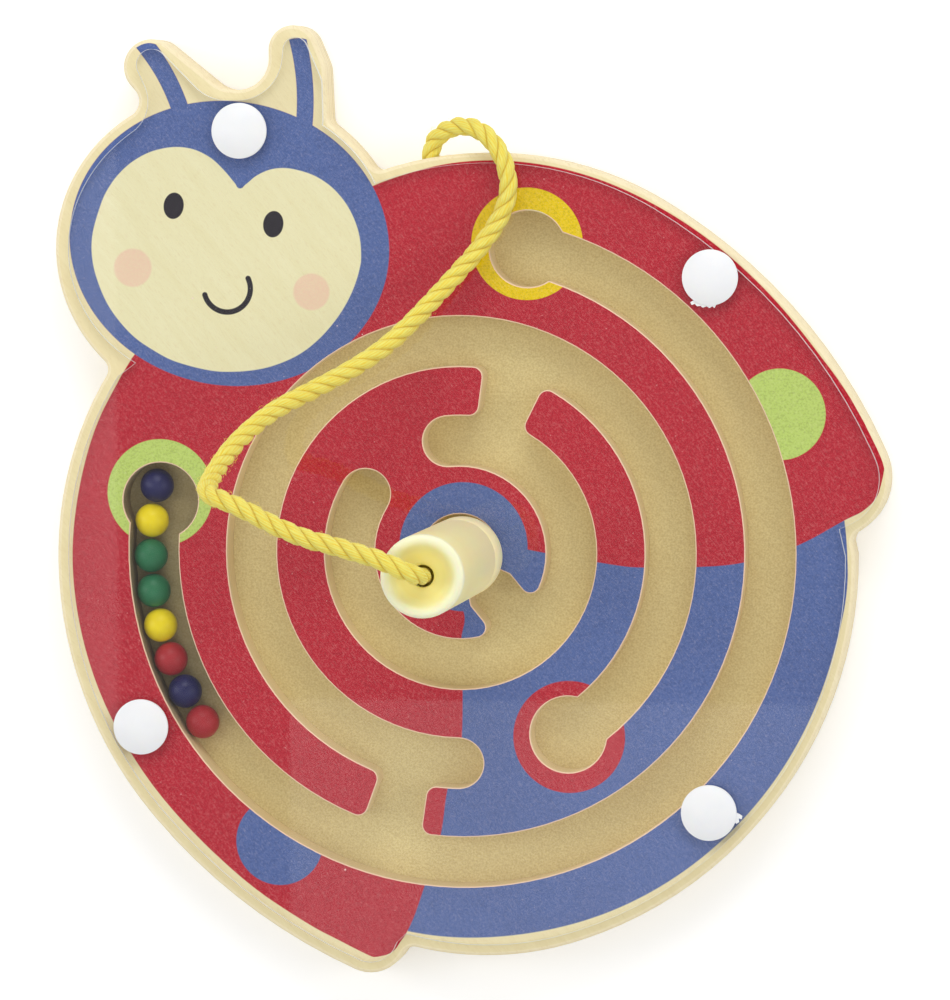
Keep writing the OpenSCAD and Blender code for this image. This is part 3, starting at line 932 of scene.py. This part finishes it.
def makeBoards(facts):
    ply, floor, printed = plyMaterial(plyFacts), floorVeneer(floorLook), printMaterial(printArt)

    mesh = mergedCopy("maze_board")
    bevelEdges(mesh, rimEdges(mesh, facts["mazeTop"], True), facts["roundOver"], 4)
    bevelEdges(mesh, rimEdges(mesh, facts["mazeTop"], False), facts["channelEdge"], 2)
    piece = finishPiece(mesh, "printed_maze_board", [ply, printed], upperFace(facts["mazeTop"]), "maze_board")

    mesh = mergedCopy("base_board")
    bevelEdges(mesh, rimEdges(mesh, 0, True), facts["roundOver"], 4)
    piece = finishPiece(mesh, "bottom_board", [ply, floor], upperFace(facts["floorTop"]), "base_board")

    # a thin film of air keeps the sheet off the print
    mesh = mergedCopy("clear_cover")
    lower = [v for v in mesh.verts if v.co.z < (facts["mazeTop"] + 0.1) * mm]
    bmesh.ops.translate(mesh, verts=lower, vec=(0, 0, facts["airFilm"] * mm))
    bevelEdges(mesh, rimEdges(mesh, facts["coverTop"], None), facts["coverEdge"], 2, clamp=True)
    sheet = [acrylicMaterial(acrylicLook), acrylicEdgeMaterial(acrylicLook)]
    piece = finishPiece(mesh, "acrylic_cover", sheet, lambda f: int(abs(f.normal.z) < 0.99), "clear_cover")


makeBoards(boardFacts)
print("boards and cover made")


# beads and rivets keep their CAD shape and get a finish
beadPaint = {
    "navy": (srgb(20, 20, 78), ["bead_1", "bead_7"]),
    "yellow": (srgb(248, 218, 0), ["bead_2", "bead_5"]),
    "green": (srgb(34, 112, 72), ["bead_3", "bead_4"]),
    "red": (srgb(168, 30, 40), ["bead_6", "bead_8"]),
}


def paintMaterial(name, colour):
    material, tree, shader, _ = newMaterial(name + "_bead_paint", {
        "Roughness": 0.36, "Specular IOR Level": 0.25})
    place = placeInMillimetres(tree)
    cloud, scuff = noise(tree, place, 0.5, 3.0), noise(tree, place, 3.0, 2.0)
    dark = tuple(v * 0.82 for v in colour[:3]) + (1.0,)
    light = tuple(min(1.0, v * 1.15 + 0.01) for v in colour[:3]) + (1.0,)
    tree.links.new(remap(tree, scuff, target=(0.26, 0.46)), shader.inputs["Roughness"])
    dressShader(tree, shader, mixColour(tree, cloud, dark, light), scuff, 0.02, 0.00005)
    return material


def dressNode(node, material):
    materials = cadNodes[node].data.materials
    materials.clear()
    materials.append(material)


for name, (colour, beads) in beadPaint.items():
    paint = paintMaterial(name, colour)
    for bead in beads:
        dressNode(bead, paint)

# the wand's two plastic parts as profiles: radius, height in mm
wandFacts = {
    "at": cordFacts["wandEnd"][:2],
    "steps": 96,
    "sharpAngle": 50,
    "barrel": [
        (8.2, 28.1), (9.4, 28.1), (9.6, 28.25), (9.7, 28.5), (9.7, 84.3), (9.62, 84.75), (9.4, 85.15),
        (9.05, 85.43), (8.6, 85.55), (8.1, 85.5), (7.6, 85.3), (7.1, 84.95), (6.6, 84.55), (6.1, 84.2),
        (5.5, 83.95), (4.8, 83.8), (3.6, 83.68), (2.85, 83.6), (2.65, 83.5), (2.6, 83.3), (2.6, 81.1),
        (8.2, 81.1)],
    "cap": [
        (0, 15.1), (8.9, 15.1), (9.35, 15.2), (9.62, 15.45), (9.7, 15.9), (9.7, 27.7), (9.6, 27.95),
        (9.4, 28.1), (8.1, 28.1), (8.1, 33.8), (7.9, 34.1), (6.1, 34.1), (6.1, 16.3), (0, 16.3)],
}
# lit is painted glow: emission that stands in for the light a part carries inside
plasticLook = {
    "nylon": {
        "dark": srgb(240, 241, 244), "light": srgb(248, 249, 250),
        "roughness": 0.42, "glow": 0.1, "lit": 0.0, "scale": 0.2},
    "shell": {
        "dark": srgb(252, 240, 176), "light": srgb(255, 248, 192),
        "roughness": 0.36, "glow": 0.6, "lit": 0.3, "scale": 0.06},
    "cap": {
        "dark": srgb(252, 242, 186), "light": srgb(255, 249, 200),
        "roughness": 0.4, "glow": 0.6, "lit": 0.14, "scale": 0.06},
    # inner is the colour of the painted glow
    "inner": srgb(255, 232, 170),
    "glowReach": (0.008, 0.006, 0.003),
}
shellLook = {
    "seam": 28.1,
    "seamHalf": 0.5,
    # the seam's pale line is a painted highlight
    "seamHighlightTone": srgb(255, 254, 236),
    # below lowTo the barrel is paler, as painted light
    "lowTo": 70.0,
    "lowPaintedLight": srgb(255, 250, 196),
    "topFrom": 82.5,
    "dish": (6.4, 2.6, srgb(244, 230, 140)),
    "brim": (7.6, 2.0, srgb(255, 252, 212)),
}


def shellTones(tree, place, colour, look):
    # the barrel's colour, and how far down each place is
    height = split(tree, place)["Z"]
    off = calc(tree, "ABSOLUTE", minus(tree, height, look["seam"]))
    # painted highlight along the seam where barrel and cap meet
    seamHighlight = minus(tree, 1.0, calc(tree, "DIVIDE", off, look["seamHalf"]), clamp=True)
    colour = tint(tree, colour, seamHighlight, 0.9, look["seamHighlightTone"])
    # painted light: the barrel is paler towards the bottom, where it gets less light
    low = minus(tree, 1.0, calc(tree, "DIVIDE", height, look["lowTo"]), clamp=True)
    colour = mixColour(tree, low, colour, look["lowPaintedLight"])
    # the hollow end is deeper and its brim paler
    centre = (*wandFacts["at"], 0)
    top = minus(tree, height, look["topFrom"], clamp=True)
    radius, blur, tone = look["brim"]
    colour = tint(tree, colour, minus(tree, 1.0, disc(tree, place, centre, radius, blur)), top, tone)
    radius, blur, tone = look["dish"]
    return tint(tree, colour, disc(tree, place, centre, radius, blur), top, tone), low


def plasticMaterial(name, look, shell=None):
    material, tree, shader, _ = newMaterial(name, {
        "Roughness": look["roughness"], "Subsurface Weight": look["glow"],
        "Subsurface Radius": plasticLook["glowReach"],
        "Emission Color": plasticLook["inner"], "Emission Strength": look["lit"]})
    place = placeInMillimetres(tree)
    fine = noise(tree, place, 2.5, 2.0)
    colour = mixColour(tree, noise(tree, place, look["scale"], 3.0), look["dark"], look["light"])
    if shell:
        colour, low = shellTones(tree, place, colour, shell)
        # painted glow, strongest low on the barrel
        paintedGlow = mixColour(tree, low, (0, 0, 0, 1), plasticLook["inner"])
        tree.links.new(paintedGlow, shader.inputs["Emission Color"])
    rough = remap(tree, fine, target=(look["roughness"] - 0.08, look["roughness"] + 0.1))
    tree.links.new(rough, shader.inputs["Roughness"])
    dressShader(tree, shader, colour, fine, 0.04, 0.0001)
    return material


def magnetMaterial():
    material, tree, shader, _ = newMaterial("nickel_magnet", {"Metallic": 1.0, "Roughness": 0.25})
    brushed = noise(tree, placeInMillimetres(tree), 1.5, 3.0)
    nickel = mixColour(tree, brushed, srgb(176, 174, 170), srgb(214, 212, 206))
    tree.links.new(nickel, shader.inputs["Base Color"])
    return material


nylon = plasticMaterial("white_nylon", plasticLook["nylon"])
for number in range(1, 5):
    dressNode("rivet_front_%d" % number, nylon)
    dressNode("rivet_back_%d" % number, nylon)
dressNode("wand_magnet", magnetMaterial())
print("beads, rivets and magnet painted")


# thin ragged flash that the mould left on two rivet heads, outlines in mm from the rivet's middle
flashFacts = {
    "height": 0.35,
    "pieces": [
        ("mould_flash_upper", boardFacts["rivets"][1], [
            (-3.6, -5.3), (-4.7, -5.9), (-4.4, -6.6), (-3.6, -6.3), (-3.1, -6.9), (-2.3, -6.8), (-1.7, -7.2),
            (-0.8, -6.9), (-0.1, -7.3), (0.6, -6.9), (1.1, -7.3), (1.5, -6.5), (1.2, -6.1), (-1.5, -6.2)]),
        ("mould_flash_lower", boardFacts["rivets"][3], [
            (6.2, 0.3), (7.3, -0.1), (8.1, -0.6), (7.9, -1.4), (7.2, -1.2), (7.3, -2.1), (6.7, -2.5),
            (6.0, -2.1)]),
    ],
}


def makeFlash(facts):
    for name, (x, y), outline in facts["pieces"]:
        mesh = bmesh.new()
        level = boardFacts["coverTop"]
        corners = [mesh.verts.new(((x + dx) * mm, (y + dy) * mm, level * mm)) for dx, dy in outline]
        face = mesh.faces.new(corners)
        raised = bmesh.ops.extrude_face_region(mesh, geom=[face])["geom"]
        raised = [v for v in raised if isinstance(v, bmesh.types.BMVert)]
        bmesh.ops.translate(mesh, verts=raised, vec=(0, 0, facts["height"] * mm))
        bmesh.ops.recalc_face_normals(mesh, faces=mesh.faces[:])
        piece = newPiece(name, mesh)
        piece.data.materials.append(nylon)
        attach(piece, "board")


makeFlash(flashFacts)


def turnPiece(name, profile, material, node):
    # a closed profile spun round the wand's axis
    x, y = wandFacts["at"]
    mesh = bmesh.new()
    points = [mesh.verts.new(((x + r) * mm, y * mm, z * mm)) for r, z in profile]
    closed = list(zip(points, points[1:])) + ([(points[-1], points[0])] if profile[0][0] > 0 else [])
    edges = [mesh.edges.new(pair) for pair in closed]
    bmesh.ops.spin(mesh, geom=points + edges, cent=(x * mm, y * mm, 0), axis=(0, 0, 1), dvec=(0, 0, 0),
                   angle=2 * math.pi, steps=wandFacts["steps"], use_merge=True)
    bmesh.ops.remove_doubles(mesh, verts=mesh.verts[:], dist=boardFacts["weld"] * mm)
    bmesh.ops.recalc_face_normals(mesh, faces=mesh.faces[:])
    for face in mesh.faces:
        face.smooth = True
    piece = newPiece(name, mesh)
    piece.data.set_sharp_from_angle(angle=math.radians(wandFacts["sharpAngle"]))
    piece.data.materials.append(material)
    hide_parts(node)
    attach(piece, "wand")


shellPlastic = plasticMaterial("pale_yellow_plastic", plasticLook["shell"], shellLook)
turnPiece("wand_tube", wandFacts["barrel"], shellPlastic, "wand_barrel")
capPlastic = plasticMaterial("end_cap_plastic", plasticLook["cap"])
turnPiece("wand_foot", wandFacts["cap"], capPlastic, "wand_end_cap")
print("wand turned")


# floor, world and lamps
stageLook = {
    "floorHalf": 4.0,
    "floorDrop": 0.0004,  # keeps the floor just under the board
    "floorGlow": 0.22,
    "worldStrength": 0.53,
    "lamps": [
        # name, place, size, power; the first two look straight down and show faintly in the cover
        ("lamp_front", (0.163, -0.433, 1.0), (0.735, 0.614), 1.0),
        ("lamp_left", (-0.4575, 0.1, 1.0), (0.365, 0.7), 0.57),
        ("lamp_back", (0.1, 1.0, 0.8), (0.9, 0.5), 5.0),
        ("lamp_right", (1.1, 0.05, 0.8), (0.5, 0.8), 3.2),
        ("lamp_side", (-1.1, 0.2, 0.8), (0.5, 0.8), 3.2),
    ],
    "flat": ("lamp_front", "lamp_left"),
}


def makeStage(look):
    mesh = bmesh.new()
    bmesh.ops.create_grid(mesh, x_segments=1, y_segments=1, size=look["floorHalf"])
    bmesh.ops.translate(mesh, verts=mesh.verts[:], vec=(0, 0, -look["floorDrop"]))
    floor = newPiece("studio_floor", mesh)
    material, tree, shader, _ = newMaterial("studio_floor_white", {
        "Base Color": (0.95, 0.95, 0.95, 1), "Roughness": 0.9, "Specular IOR Level": 0.1,
        "Emission Color": (1, 1, 1, 1)})
    path = addNode(tree, "ShaderNodeLightPath").outputs
    seen = larger(tree, path["Is Camera Ray"], larger(tree, path["Is Glossy Ray"], path["Is Transmission Ray"]))
    tree.links.new(times(tree, seen, look["floorGlow"]), shader.inputs["Emission Strength"])
    floor.data.materials.append(material)

    world = bpy.data.worlds.new("studio_world")
    world.use_nodes = True
    scene.world = world
    sky = world.node_tree
    sky.nodes.clear()
    path = addNode(sky, "ShaderNodeLightPath").outputs
    strength = remap(sky, path["Is Camera Ray"], target=(look["worldStrength"], 1.0))
    background = addNode(sky, "ShaderNodeBackground", {"Color": (1, 1, 1, 1), "Strength": strength})
    addNode(sky, "ShaderNodeOutputWorld", {"Surface": background.outputs[0]})

    for name, place, size, power in look["lamps"]:
        lamp = bpy.data.lights.new(name, "AREA")
        lamp.shape = "RECTANGLE"
        lamp.size, lamp.size_y = size
        lamp.energy = power
        holder = newObject(name, lamp)
        holder.location = place
        if name not in look["flat"]:
            holder.rotation_euler = (-Vector(place)).to_track_quat("-Z", "Y").to_euler()


makeStage(stageLook)
print("stage lit")
